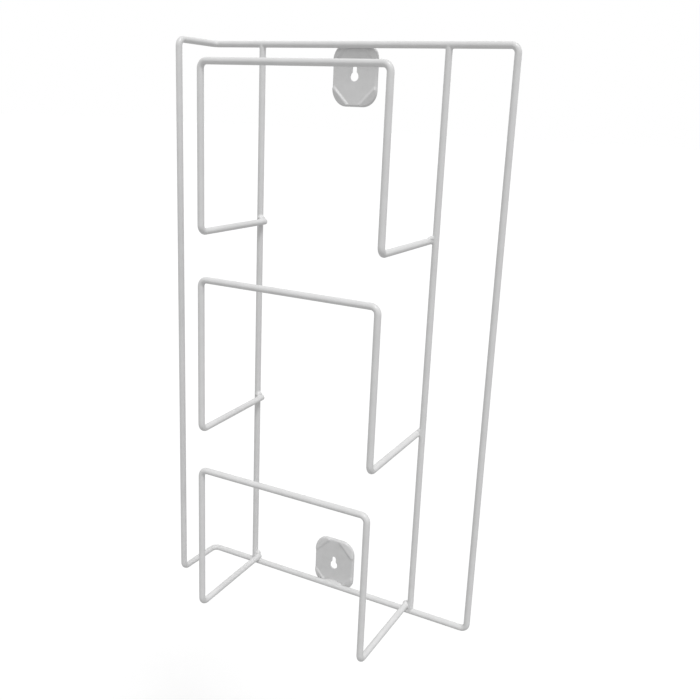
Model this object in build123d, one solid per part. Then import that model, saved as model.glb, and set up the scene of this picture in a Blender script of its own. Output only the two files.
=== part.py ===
from build123d import *
import os
from math import radians, sqrt, tan

# Wall rack of welded wire holding three glove boxes one above another.
# Millimetres.  X runs along the wall, Y into it, Z up.  The origin lies midway
# between the round entries of the two keyholes, in the middle of their sheet.

os.makedirs("parts", exist_ok=True)

# Wire stock: every wire is bent or cut from the same coated rod.
wire_d = 4.8
wire_r = wire_d / 2
bend_r = 5.0            # centreline radius of every bend
end_round = 0.7         # coating round the cut ends of the arms
upright_sink = 1.0      # how far an arm is welded into the side of an upright
bar_sink = 0.3          # how far the lowest arms are welded into the bottom bar
butt_trim = 1.2         # upright ends stop this far short of a bar's centreline

# Outer frame, measured between wire centrelines.
frame_width = 243.4
frame_height = 432.0
wing_length = 44.0      # side stop turned forward at the left

# Uprights, measured from the frame's left side.
left_upright_x = 44.0
right_upright_x = 195.0

# Box loops, all bent to one drawing and welded on one above another.
loop_depth = 80.0       # uprights to front wires
loop_height = 116.0     # arms to top bar
lower_pitch = 148.6     # bottom loop to middle loop
upper_pitch = 150.2     # middle loop to top loop
arm_overrun = 1.4       # arm ends reach this far behind the uprights' centrelines
top_arm_fall = 0.6      # how far a loop's arms drop toward the front
middle_arm_fall = 3.7
bottom_arm_fall = 4.5

# Keyhole plates, one stamping used twice.
plate_width = 36.2
plate_height = 44.6
plate_corner_r = 11.5
plate_sheet = 1.2
top_plate_drop = 20.3   # top bar centreline down to its plate's centre
bottom_plate_rise = 18.3  # bottom bar centreline up to its plate's centre
rim_depth = 2.6         # wall to the front of the flat panel
rim_roll_r = 1.6        # rounding of the rim turned back to the wall
corner_band = 6.9       # foot of each diagonal ridge to the corner's tip
ridge_run = 1.8         # foot to crest
ridge_height = 0.8
ridge_foot_r = 1.5
ridge_crest_r = 1.9
corner_angle = 16.0     # slope of the corners behind the ridges
ridge_sink = 0.4        # how far a bar is welded into the ridges

# Keyholes.
entry_r = 3.4
slot_r = 1.9
keyhole_rise = 5.8      # entry centre to the centre of the slot's end
entry_drop = 1.2        # entry centre below the plate centre
throat_r = 0.7          # easing where the slot leaves the entry

# Positions that follow from the sizes above.
wall_y = rim_depth - plate_sheet / 2
wire_y = wall_y - rim_depth - ridge_height + ridge_sink - wire_r
left_x = -frame_width / 2
right_x = frame_width / 2
bottom_z = entry_drop + (top_plate_drop - bottom_plate_rise - frame_height) / 2
top_z = bottom_z + frame_height


def bent_wire(*points, closed=False):
    """Round wire along straight runs joined by bends."""
    path = FilletPolyline(*points, radius=bend_r, close=closed)
    return sweep(Plane(origin=path @ 0, z_dir=path % 0) * Circle(wire_r), path=path)


def frame_wire():
    """Rectangle on the wall whose left side is turned forward as a side stop."""
    wing_y = wire_y - wing_length
    return bent_wire(
        (right_x, wire_y, top_z),
        (right_x, wire_y, bottom_z),
        (left_x, wire_y, bottom_z),
        (left_x, wing_y, bottom_z),
        (left_x, wing_y, top_z),
        (left_x, wire_y, top_z),
        closed=True,
    )


def upright_rod(x):
    """Straight rod reaching from bar to bar, before its ends are saddled."""
    length = frame_height - 2 * butt_trim
    return Pos(x, wire_y, bottom_z + frame_height / 2) * Cylinder(wire_r, length)


def box_loop(front_z, arm_fall):
    """Two arms and a front hoop in one wire; front_z is the height of the hoop's foot."""
    inner_left = left_x + left_upright_x + wire_d - upright_sink
    inner_right = left_x + right_upright_x - wire_d + upright_sink
    front_y = wire_y - loop_depth
    back_y = wire_y + arm_overrun
    back_z = front_z + arm_fall * (loop_depth + arm_overrun) / loop_depth
    hoop_z = front_z + loop_height
    wire = bent_wire(
        (inner_left, back_y, back_z),
        (inner_left, front_y, front_z),
        (inner_left, front_y, hoop_z),
        (inner_right, front_y, hoop_z),
        (inner_right, front_y, front_z),
        (inner_right, back_y, back_z),
    )
    ends = wire.faces().filter_by(GeomType.PLANE).edges()
    return fillet(ends, end_round)


def plate_form(inset):
    """Filled shape of the stamping from the wall, at Y 0, to its front skin, drawn in by inset."""
    half_width = plate_width / 2 - inset
    half_height = plate_height / 2 - inset
    corner_r = plate_corner_r - inset
    outline = RectangleRounded(2 * half_width, 2 * half_height, corner_r)
    panel = rim_depth - inset
    crest = panel + ridge_height
    full_reach = (plate_width + plate_height - 4 * plate_corner_r) / sqrt(8) + plate_corner_r
    tip_reach = full_reach - inset
    ridge_reach = full_reach - corner_band
    crest_reach = ridge_reach + ridge_run
    tip = crest - (tip_reach - crest_reach) * tan(radians(corner_angle))
    skin = FilletPolyline(
        (ridge_reach - ridge_run, panel),
        (ridge_reach, panel),
        (crest_reach, crest),
        (tip_reach, tip),
        radius=(ridge_foot_r, ridge_crest_r),
    )
    back = Polyline(skin @ 1, (tip_reach, 0), (ridge_reach - ridge_run, 0), skin @ 0)
    section = make_face(skin.edges() + back.edges())
    form = extrude(Plane.XZ * outline, panel)
    limit = extrude(Plane.XZ * outline, crest)
    for side in (-1, 1):
        for end in (-1, 1):
            across = Plane(origin=(0, 0, 0), x_dir=(side, 0, end), z_dir=(end, 0, -side))
            corner = extrude(across * section, plate_height, both=True)
            beyond = Pos((ridge_reach - ridge_run + tip_reach) / 2, 0) * Rectangle(
                tip_reach - ridge_reach + ridge_run, 4 * crest
            )
            form -= extrude(across * beyond, plate_height, both=True)
            form += corner & limit
    return form


def keyhole_cutter():
    """Round entry with a narrow slot rising from it."""
    entry = Pos(0, -entry_drop) * Circle(entry_r)
    slot_end = Pos(0, keyhole_rise - entry_drop) * Circle(slot_r)
    slot = Pos(0, keyhole_rise / 2 - entry_drop) * Rectangle(2 * slot_r, keyhole_rise)
    hole = entry + slot + slot_end
    throat = hole.vertices().sort_by(Axis.Y)[:2]
    return extrude(Plane.XZ * fillet(throat, throat_r), rim_depth)


def rim_edges(form):
    """Edges between the stamping's front skin and its upright sides."""
    sides = [face for face in form.faces() if abs(face.normal_at().Y) < 0.01]
    side_edges = ShapeList(edge for face in sides for edge in face.edges())
    skin = [face for face in form.faces() if face.normal_at().Y < -0.01]
    return [
        edge
        for face in skin
        for edge in face.edges()
        if any(edge.is_same(other) for other in side_edges)
    ]


def keyhole_plate():
    """Flat panel with four ridged corners and a rim turned back to the wall."""
    shell = fillet(rim_edges(plate_form(0)), rim_roll_r)
    return shell - plate_form(plate_sheet) - keyhole_cutter()


outer_frame = frame_wire()
left_upright = upright_rod(left_x + left_upright_x) - outer_frame
right_upright = upright_rod(left_x + right_upright_x) - outer_frame

bottom_loop_z = bottom_z + wire_d - bar_sink - bottom_arm_fall
welded_to = outer_frame + left_upright + right_upright
bottom_loop = box_loop(bottom_loop_z, bottom_arm_fall) - welded_to
middle_loop_z = bottom_loop_z + lower_pitch
middle_loop = box_loop(middle_loop_z, middle_arm_fall) - welded_to
top_loop = box_loop(middle_loop_z + upper_pitch, top_arm_fall) - welded_to

stamping = keyhole_plate()
top_keyhole_plate = Pos(0, wall_y, top_z - top_plate_drop) * stamping - outer_frame
bottom_keyhole_plate = Pos(0, wall_y, bottom_z + bottom_plate_rise) * stamping - outer_frame

pieces = {
    "outer_frame": outer_frame,
    "left_upright": left_upright,
    "right_upright": right_upright,
    "top_loop": top_loop,
    "middle_loop": middle_loop,
    "bottom_loop": bottom_loop,
    "top_keyhole_plate": top_keyhole_plate,
    "bottom_keyhole_plate": bottom_keyhole_plate,
}
for name, piece in pieces.items():
    export_step(piece, f"parts/{name}.step")
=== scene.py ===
from math import radians

import bpy
from mathutils import Euler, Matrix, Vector


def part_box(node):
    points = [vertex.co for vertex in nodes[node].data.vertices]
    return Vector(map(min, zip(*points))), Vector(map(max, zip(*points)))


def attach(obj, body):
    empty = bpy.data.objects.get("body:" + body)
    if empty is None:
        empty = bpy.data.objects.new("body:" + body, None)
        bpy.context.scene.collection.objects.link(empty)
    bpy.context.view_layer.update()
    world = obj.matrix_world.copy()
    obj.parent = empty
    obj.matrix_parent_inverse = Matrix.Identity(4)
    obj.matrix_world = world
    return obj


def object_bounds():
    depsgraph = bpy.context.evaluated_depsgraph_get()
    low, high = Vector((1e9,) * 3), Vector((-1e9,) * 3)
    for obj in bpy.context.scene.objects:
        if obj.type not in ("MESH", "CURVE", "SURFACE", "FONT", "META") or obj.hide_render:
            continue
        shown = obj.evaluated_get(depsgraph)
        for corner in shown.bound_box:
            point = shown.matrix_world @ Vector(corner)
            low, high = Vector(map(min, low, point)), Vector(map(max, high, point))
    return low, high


mm = 0.001

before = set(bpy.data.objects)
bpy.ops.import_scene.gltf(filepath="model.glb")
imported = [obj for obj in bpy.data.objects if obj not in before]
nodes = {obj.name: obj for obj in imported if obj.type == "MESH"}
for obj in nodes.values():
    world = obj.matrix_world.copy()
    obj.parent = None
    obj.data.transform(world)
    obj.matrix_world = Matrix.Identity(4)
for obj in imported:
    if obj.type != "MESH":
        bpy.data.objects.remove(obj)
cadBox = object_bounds()
print("frame loaded:", ", ".join(sorted(nodes)))


def deselectAll():
    if bpy.context.object and bpy.context.object.mode != "OBJECT":
        bpy.ops.object.mode_set(mode="OBJECT")
    bpy.ops.object.select_all(action="DESELECT")


def makeActive(piece):
    deselectAll()
    piece.select_set(True)
    bpy.context.view_layer.objects.active = piece


def applyModifiers(piece):
    makeActive(piece)
    for modifier in list(piece.modifiers):
        bpy.ops.object.modifier_apply(modifier=modifier.name)


def settle(piece):
    # the piece's place goes into its mesh and its object goes to the origin
    makeActive(piece)
    bpy.ops.object.transform_apply(location=True, rotation=True, scale=True)


def linkNodes(tree, *links):
    for source, target in links:
        tree.links.new(source, target)


def coatingSkinGroup():
    # the slight orange peel, mottling and dulling of a baked-on coating
    noiseRange = (0.3, 0.7)               # nearly all of the noise lies between these
    group = bpy.data.node_groups.new("coatingSkin", "ShaderNodeTree")
    face = group.interface
    face.new_socket("Colour", in_out="INPUT", socket_type="NodeSocketColor")
    for name in ("Mottle", "Mottle size", "Peel size", "Gloss", "Dulling"):
        face.new_socket(name, in_out="INPUT", socket_type="NodeSocketFloat")
    face.new_socket("Colour", in_out="OUTPUT", socket_type="NodeSocketColor")
    face.new_socket("Roughness", in_out="OUTPUT", socket_type="NodeSocketFloat")
    face.new_socket("Height", in_out="OUTPUT", socket_type="NodeSocketFloat")
    add = group.nodes.new
    given = add("NodeGroupInput")
    result = add("NodeGroupOutput")
    place = add("ShaderNodeTexCoord")

    def noise(sizeSocket, detail, roughness):
        # size is in millimetres, so the noise's scale is one over it in metres
        scale = add("ShaderNodeMath")
        scale.operation = "DIVIDE"
        scale.inputs[0].default_value = 1 / mm
        texture = add("ShaderNodeTexNoise")
        texture.inputs["Detail"].default_value = detail
        texture.inputs["Roughness"].default_value = roughness
        linkNodes(
            group,
            (sizeSocket, scale.inputs[1]),
            (scale.outputs[0], texture.inputs["Scale"]),
            (place.outputs["Object"], texture.inputs["Vector"]),
        )
        return texture.outputs["Fac"]

    mottle = noise(given.outputs["Mottle size"], detail=3.0, roughness=0.55)
    peel = noise(given.outputs["Peel size"], detail=2.0, roughness=0.45)

    tone = add("ShaderNodeMapRange")      # mottling swings the tone about its own value
    tone.inputs["From Min"].default_value = noiseRange[0]
    tone.inputs["From Max"].default_value = noiseRange[1]
    darkest = add("ShaderNodeMath")
    darkest.operation = "SUBTRACT"
    darkest.inputs[0].default_value = 1.0
    shade = add("ShaderNodeMix")
    shade.data_type = "RGBA"
    shade.blend_type = "MULTIPLY"
    shade.inputs["Factor"].default_value = 1.0
    linkNodes(
        group,
        (mottle, tone.inputs["Value"]),
        (given.outputs["Mottle"], darkest.inputs[1]),
        (darkest.outputs[0], tone.inputs["To Min"]),
        (given.outputs["Colour"], shade.inputs["A"]),
        (tone.outputs["Result"], shade.inputs["B"]),
        (shade.outputs["Result"], result.inputs["Colour"]),
    )

    dull = add("ShaderNodeMath")
    dull.operation = "MULTIPLY_ADD"
    linkNodes(
        group,
        (mottle, dull.inputs[0]),
        (given.outputs["Dulling"], dull.inputs[1]),
        (given.outputs["Gloss"], dull.inputs[2]),
        (dull.outputs[0], result.inputs["Roughness"]),
        (peel, result.inputs["Height"]),
    )
    return group


coatingSkin = coatingSkinGroup()


def coatingMaterial(name, look):
    material = bpy.data.materials.new(name)
    material.use_nodes = True
    tree = material.node_tree
    shader = tree.nodes["Principled BSDF"]
    skin = tree.nodes.new("ShaderNodeGroup")
    skin.node_tree = coatingSkin
    skin.inputs["Colour"].default_value = (*look["colour"], 1.0)
    skin.inputs["Mottle"].default_value = look["mottle"]
    skin.inputs["Mottle size"].default_value = look["mottleSize"]
    skin.inputs["Peel size"].default_value = look["peelSize"]
    skin.inputs["Gloss"].default_value = look["roughness"]
    skin.inputs["Dulling"].default_value = look["dulling"]
    bump = tree.nodes.new("ShaderNodeBump")
    bump.inputs["Strength"].default_value = look["peelStrength"]
    bump.inputs["Distance"].default_value = look["peelDepth"] * mm
    shader.inputs["Specular IOR Level"].default_value = look["specular"]
    shader.inputs["Coat Weight"].default_value = look["coat"]
    shader.inputs["Coat Roughness"].default_value = look["coatRoughness"]
    linkNodes(
        tree,
        (skin.outputs["Colour"], shader.inputs["Base Color"]),
        (skin.outputs["Roughness"], shader.inputs["Roughness"]),
        (skin.outputs["Height"], bump.inputs["Height"]),
        (bump.outputs["Normal"], shader.inputs["Normal"]),
    )
    return material


wireCoating = {
    "colour": (0.80, 0.80, 0.80),
    "mottle": 0.05,           # how much darker the dullest patches are
    "mottleSize": 9.0,        # millimetres
    "peelSize": 1.1,
    "peelStrength": 0.35,
    "peelDepth": 0.05,
    "roughness": 0.36,
    "dulling": 0.14,
    "specular": 0.4,
    "coat": 0.4,
    "coatRoughness": 0.22,
}
plateCoatingPaintedShade = dict(                # on flat sheet the same coating dries glossier, and its colour carries painted shade
    wireCoating,
    # painted shade: a little darker than the wires' 0.80, standing in for the shade the bars
    # cast on the plates
    colour=(0.77, 0.77, 0.77),
    mottleSize=6.0,
    peelSize=0.9,
    coat=0.7,
    coatRoughness=0.18,
)

wireMaterial = coatingMaterial("whiteWireCoating", wireCoating)
plateMaterialPaintedShade = coatingMaterial("whitePlateCoatingPaintedShade", plateCoatingPaintedShade)
for nodeName, node in nodes.items():
    node.data.materials.clear()
    node.data.materials.append(plateMaterialPaintedShade if "plate" in nodeName else wireMaterial)
print("coatings made")

# the welds: the rods that meet are joined, remeshed and smoothed, so that the crease
# between them fills up while the rods themselves draw in under the real wires
weldShape = {
    "grow": 0.05,             # how much thicker than the wire the rods start, millimetres
    "reach": 7.0,             # how far the rods run from the weld
    "tuck": 0.3,              # how far short of the arm's cut end its rod stops
    "rodSides": 48,
    "beadSegments": 32,
    "beadRings": 16,
    "voxel": 0.28,
    "meltFactor": 0.5,        # how far one pass of smoothing goes
    "meltPasses": 26,
}

# the bead over each arm: its middle lies a share of the way from the upright to the arm,
# and so many millimetres toward the wall and above the arm's middle
armBeads = {
    "top_loop": {
        "left": {"radii": (3.0, 3.0, 2.3), "share": 0.4, "inward": -1.0, "rise": 2.6},
        "right": {"radii": (1.8, 4.4, 1.6), "share": 0.7, "inward": -2.4, "rise": 2.2},
    },
    "middle_loop": {
        "left": {"radii": (2.8, 2.8, 2.5), "share": 0.45, "inward": -0.9, "rise": 2.7},
        "right": {"radii": (1.9, 2.6, 2.2), "share": 0.55, "inward": -0.4, "rise": 2.5},
    },
    "bottom_loop": {
        "left": {"radii": (2.1, 2.1, 2.9), "share": 0.85, "inward": 0.2, "rise": 2.4},
        "right": {"radii": (2.7, 2.7, 2.6), "share": 1.0, "inward": -0.2, "rise": 1.0},
    },
}

# the bead between a bar and the panel of its plate: how far along from the middle of the
# bar, toward the wall, and toward the middle of the plate
plateBeads = {
    "bottom": {"radii": (8.5, 1.6, 1.8), "along": 0.8, "inward": 1.5, "rise": 2.0},
    "top": {"radii": (4.0, 1.2, 1.1), "along": -9.0, "inward": 1.6, "rise": 1.6},
}

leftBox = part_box("left_upright")
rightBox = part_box("right_upright")
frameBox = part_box("outer_frame")
wireR = (leftBox[1].x - leftBox[0].x) / 2
wireY = (leftBox[0].y + leftBox[1].y) / 2
uprightX = {
    "left": (leftBox[0].x + leftBox[1].x) / 2,
    "right": (rightBox[0].x + rightBox[1].x) / 2,
}
barZ = {"bottom": frameBox[0].z + wireR, "top": frameBox[1].z - wireR}
reach = weldShape["reach"] * mm


def rodBetween(start, end):
    start, end = Vector(start), Vector(end)
    span = end - start
    bpy.ops.mesh.primitive_cylinder_add(
        vertices=weldShape["rodSides"],
        radius=wireR + weldShape["grow"] * mm,
        depth=span.length,
        location=(start + end) / 2,
        rotation=span.to_track_quat("Z", "Y").to_euler(),
    )
    return bpy.context.object


def barRod(x, bar):
    # the stretch of the top or bottom bar on both sides of x
    return rodBetween((x - reach, wireY, barZ[bar]), (x + reach, wireY, barZ[bar]))


def beadAt(place, radii):
    bpy.ops.mesh.primitive_uv_sphere_add(
        segments=weldShape["beadSegments"],
        ring_count=weldShape["beadRings"],
        radius=mm,
        location=place,
    )
    bead = bpy.context.object
    bead.scale = radii
    return bead


def blendOf(name, parts):
    # one smooth skin over all the parts
    deselectAll()
    for part in parts:
        part.select_set(True)
    piece = parts[0]
    bpy.context.view_layer.objects.active = piece
    bpy.ops.object.transform_apply(location=True, rotation=True, scale=True)
    bpy.ops.object.join()
    remesh = piece.modifiers.new("skin", "REMESH")
    remesh.mode = "VOXEL"
    remesh.voxel_size = weldShape["voxel"] * mm
    smooth = piece.modifiers.new("melt", "SMOOTH")
    smooth.factor = weldShape["meltFactor"]
    smooth.iterations = weldShape["meltPasses"]
    applyModifiers(piece)
    bpy.ops.object.shade_smooth()
    piece.name = name
    piece.data.name = name
    return piece


def copyOf(piece, name):
    deselectAll()
    twin = piece.copy()
    twin.data = piece.data.copy()
    twin.name = name
    twin.data.name = name
    bpy.context.collection.objects.link(twin)
    return twin


def mirrorPiece(piece, middleX):
    # turned over from left to right, with its faces kept facing outward
    piece.scale = (-1, 1, 1)
    piece.location = (2 * middleX, 0, 0)
    settle(piece)
    bpy.ops.object.mode_set(mode="EDIT")
    bpy.ops.mesh.select_all(action="SELECT")
    bpy.ops.mesh.normals_make_consistent(inside=False)
    bpy.ops.object.mode_set(mode="OBJECT")


def finishWeld(piece):
    piece.data.materials.clear()
    piece.data.materials.append(wireMaterial)
    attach(piece, "root")


def uprightWelds():
    # each upright butts against the underside of the top bar
    x, z = uprightX["left"], barZ["top"]
    weld = blendOf("left_top_weld", [
        barRod(x, "top"),
        rodBetween((x, wireY, z), (x, wireY, z - reach)),
    ])
    twin = copyOf(weld, "right_top_weld")
    twin.location = (uprightX["right"] - uprightX["left"], 0, 0)
    settle(twin)
    return [weld, twin]


def armWeld(loop, side):
    # an arm laid against the side of an upright; the lowest also lies on the bottom bar
    # both sides are made on the left, and the right one is then turned over
    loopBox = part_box(loop)
    armX = loopBox[0].x + wireR
    postX = uprightX["left"]
    ends = [
        vertex.co
        for vertex in nodes[loop].data.vertices
        if vertex.co.y > wireY and vertex.co.x < 0
    ]
    armZ = max(point.z for point in ends) - wireR
    endY = max(point.y for point in ends)
    fall = (armZ - loopBox[0].z - wireR) / (endY - loopBox[0].y - wireR)
    bead = armBeads[loop][side]
    beadX = postX + bead["share"] * (armX - postX)
    postFoot = max(armZ - reach, barZ["bottom"])
    parts = [
        rodBetween(
            (armX, wireY - reach, armZ - fall * reach),
            (armX, endY - weldShape["tuck"] * mm, armZ),
        ),
        rodBetween((postX, wireY, armZ + reach), (postX, wireY, postFoot)),
        beadAt((beadX, wireY + bead["inward"] * mm, armZ + bead["rise"] * mm), bead["radii"]),
    ]
    if loop == "bottom_loop":
        parts.append(barRod(armX, "bottom"))
    weld = blendOf(f"{side}_{loop}_weld", parts)
    if side == "right":
        mirrorPiece(weld, (uprightX["left"] + uprightX["right"]) / 2)
    return weld


def plateWeld(bar):
    bead = plateBeads[bar]
    x = bead["along"] * mm
    rise = bead["rise"] * mm if bar == "bottom" else -bead["rise"] * mm
    return blendOf(f"{bar}_plate_weld", [
        barRod(x, bar),
        beadAt((x, wireY + bead["inward"] * mm, barZ[bar] + rise), bead["radii"]),
    ])


welds = uprightWelds()
welds += [armWeld(loop, side) for loop, sides in armBeads.items() for side in sides]
welds += [plateWeld(bar) for bar in plateBeads]
for weld in welds:
    finishWeld(weld)
print("welds made:", sum(len(weld.data.polygons) for weld in welds), "faces")


studio = {
    "floorDrop": 0.30,         # clear height under the rack, metres
    "floorSize": 60.0,
    "floorShade": 0.80,        # as the camera sees it
    "floorRoughness": 0.9,
    "floorSpecular": 0.1,
    "floorBounce": 0.50,       # how much light it throws back up
    "floorLift": 0.28,         # glow that only the camera sees, so that the floor reads white
    "ambient": 0.495,          # how strongly the room lights the rack
    "lights": {                # the way to each, its strength and how wide it is in degrees
        "overheadLight": ((0.38, -0.29, 0.88), 1.55, 18.0),
        "frontGlint": ((0.06, -0.82, 0.57), 0.10, 9.0),
    },
}


def paleFloor():
    bpy.ops.mesh.primitive_plane_add(
        size=studio["floorSize"], location=(0, 0, cadBox[0][2] - studio["floorDrop"])
    )
    floor = bpy.context.object
    floor.name = "floor"
    settle(floor)
    material = bpy.data.materials.new("paleFloor")
    material.use_nodes = True
    tree = material.node_tree
    shader = tree.nodes["Principled BSDF"]
    shader.inputs["Roughness"].default_value = studio["floorRoughness"]
    shader.inputs["Specular IOR Level"].default_value = studio["floorSpecular"]
    shader.inputs["Emission Color"].default_value = (1.0, 1.0, 1.0, 1.0)
    seen = tree.nodes.new("ShaderNodeLightPath")
    lift = tree.nodes.new("ShaderNodeMath")
    lift.operation = "MULTIPLY"
    lift.inputs[1].default_value = studio["floorLift"]
    shade = tree.nodes.new("ShaderNodeMapRange")
    shade.inputs["To Min"].default_value = studio["floorBounce"]
    shade.inputs["To Max"].default_value = studio["floorShade"]
    linkNodes(
        tree,
        (seen.outputs["Is Camera Ray"], lift.inputs[0]),
        (seen.outputs["Is Camera Ray"], shade.inputs["Value"]),
        (shade.outputs["Result"], shader.inputs["Base Color"]),
        (lift.outputs[0], shader.inputs["Emission Strength"]),
    )
    floor.data.materials.append(material)


def softRoom():
    # the room lights the rack dimly, and the camera, gloss and glass see it white
    world = bpy.data.worlds.new("softRoom")
    world.use_nodes = True
    tree = world.node_tree
    tree.nodes.clear()
    path = tree.nodes.new("ShaderNodeLightPath")
    glossy = tree.nodes.new("ShaderNodeMath")
    glossy.operation = "MAXIMUM"
    shown = tree.nodes.new("ShaderNodeMath")
    shown.operation = "MAXIMUM"
    room = tree.nodes.new("ShaderNodeBackground")
    room.inputs["Strength"].default_value = studio["ambient"]
    white = tree.nodes.new("ShaderNodeBackground")
    for background in (room, white):
        background.inputs["Color"].default_value = (1.0, 1.0, 1.0, 1.0)
    mix = tree.nodes.new("ShaderNodeMixShader")
    output = tree.nodes.new("ShaderNodeOutputWorld")
    linkNodes(
        tree,
        (path.outputs["Is Glossy Ray"], glossy.inputs[0]),
        (path.outputs["Is Transmission Ray"], glossy.inputs[1]),
        (glossy.outputs[0], shown.inputs[0]),
        (path.outputs["Is Camera Ray"], shown.inputs[1]),
        (shown.outputs[0], mix.inputs["Fac"]),
        (room.outputs[0], mix.inputs[1]),
        (white.outputs[0], mix.inputs[2]),
        (mix.outputs[0], output.inputs["Surface"]),
    )
    bpy.context.scene.world = world


def softLight(name):
    wayTo, strength, width = studio["lights"][name]
    data = bpy.data.lights.new(name, "SUN")
    data.energy = strength
    data.angle = radians(width)
    light = bpy.data.objects.new(name, data)
    light.rotation_euler = Vector(wayTo).to_track_quat("Z", "Y").to_euler()
    bpy.context.collection.objects.link(light)


cameraSet = {
    "place": (0.30666, -0.56843, 0.17118),
    "turn": (74.479, -2.466, 28.545),      # degrees about X, Y and Z
    "lens": 43.879,
    "sensor": 36.0,
}


def viewCamera():
    data = bpy.data.cameras.new("viewCamera")
    data.sensor_fit = "HORIZONTAL"
    data.sensor_width = cameraSet["sensor"]
    data.lens = cameraSet["lens"]
    camera = bpy.data.objects.new("viewCamera", data)
    camera.location = cameraSet["place"]
    camera.rotation_euler = Euler([radians(angle) for angle in cameraSet["turn"]], "XYZ")
    bpy.context.collection.objects.link(camera)
    bpy.context.scene.camera = camera


deselectAll()
paleFloor()
softRoom()
for lightName in studio["lights"]:
    softLight(lightName)
viewCamera()
bpy.context.scene.view_settings.view_transform = "Standard"
print("floor, light and camera set")
